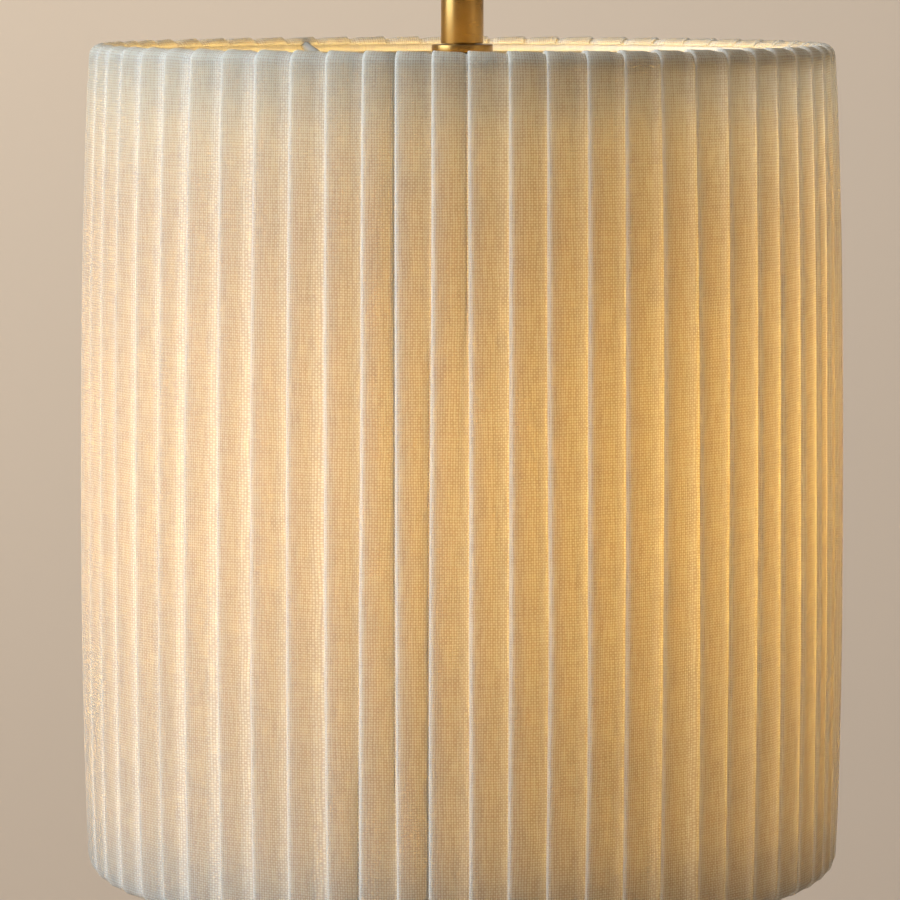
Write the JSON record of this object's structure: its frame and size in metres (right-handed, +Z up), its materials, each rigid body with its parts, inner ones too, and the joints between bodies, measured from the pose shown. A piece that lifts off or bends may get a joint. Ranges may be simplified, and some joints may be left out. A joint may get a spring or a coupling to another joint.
{
  "type": "pleated drum pendant lamp shade",
  "caption": "Pleated linen drum lamp shade on a wire fitter, clamped to a brass stem and lamp holder with a globe bulb, as the lower end of a hanging light.",
  "frame": {"origin": "centre of the stem's upper end, where the next length of stem carries the lamp", "axes": "+Z up along the stem, the shade's and the bulb's axis; -Y towards the viewer of the picture, +X to their right"},
  "size_m": [0.29, 0.29, 0.372],
  "materials": {
    "aged_brass": "brushed",
    "plain_brass": "satin",
    "zinc_steel": "zinc plated",
    "spring_bronze": "satin",
    "porcelain": "glazed",
    "white_plastic": "matte",
    "cotton_tape": "woven",
    "ivory_paint": "satin",
    "diffuser_film": "matte, translucent",
    "linen": "woven, translucent",
    "opal_glass": "opal",
    "clear_glass": "clear",
    "mica": "satin",
    "led_phosphor": "matte",
    "black_glass": "gloss",
    "solder": "dull"
  },
  "bodies": {
    "holder": {"stem_tube": "aged_brass", "stem_top_bush": "aged_brass", "stem_bottom_bush": "aged_brass", "stem_collar": "aged_brass", "holder_nipple": "aged_brass", "holder_cap": "aged_brass", "cap_grub_screw": "zinc_steel", "cap_lock_nut": "zinc_steel", "holder_shell": "aged_brass", "insulating_sleeve": "white_plastic", "porcelain_core": "porcelain", "screw_shell": "plain_brass", "centre_contact": "spring_bronze", "terminal_screw_live": "plain_brass", "terminal_screw_neutral": "plain_brass"},
    "washer": {"fibre_washer": "cotton_tape"},
    "clamp": {"clamp_ring": "aged_brass"},
    "shade": {"hub_washer": "ivory_paint", "fitter_arm_1": "ivory_paint", "fitter_arm_2": "ivory_paint", "fitter_arm_3": "ivory_paint", "top_ring": "ivory_paint", "bottom_ring": "ivory_paint", "top_binding": "cotton_tape", "bottom_binding": "cotton_tape", "diffuser_sheet": "diffuser_film", "pleated_cover": "linen"},
    "bulb": {"bulb_cap": "zinc_steel", "bulb_insulator": "black_glass", "bulb_tip_contact": "solder", "bulb_globe": "opal_glass", "bulb_post": "clear_glass", "filament_support_upper": "mica", "filament_support_lower": "mica", "led_filament_1": "led_phosphor", "led_filament_2": "led_phosphor", "led_filament_3": "led_phosphor", "led_filament_4": "led_phosphor"}
  },
  "joints": [
    {"name": "washer_drop", "type": "slide", "parent": "holder", "child": "washer", "axis": [0, 0, -1], "range_m": [0, 0.02]},
    {"name": "clamp_turn", "type": "hinge", "parent": "washer", "child": "clamp", "pos_m": [0, 0, -0.1034], "axis": [0, 0, -1], "range_deg": [0, 2880]},
    {"name": "shade_turn", "type": "hinge", "parent": "washer", "child": "shade", "pos_m": [0, 0, -0.096], "axis": [0, 0, 1], "continuous": true},
    {"name": "bulb_unscrew", "type": "hinge", "parent": "holder", "child": "bulb", "pos_m": [0, 0, -0.1023], "axis": [0, 0, -1], "continuous": true}
  ],
  "couplings": [
    {"joint": "clamp_turn", "follows": "washer_drop", "rad_per_m": 2513.3}
  ]
}
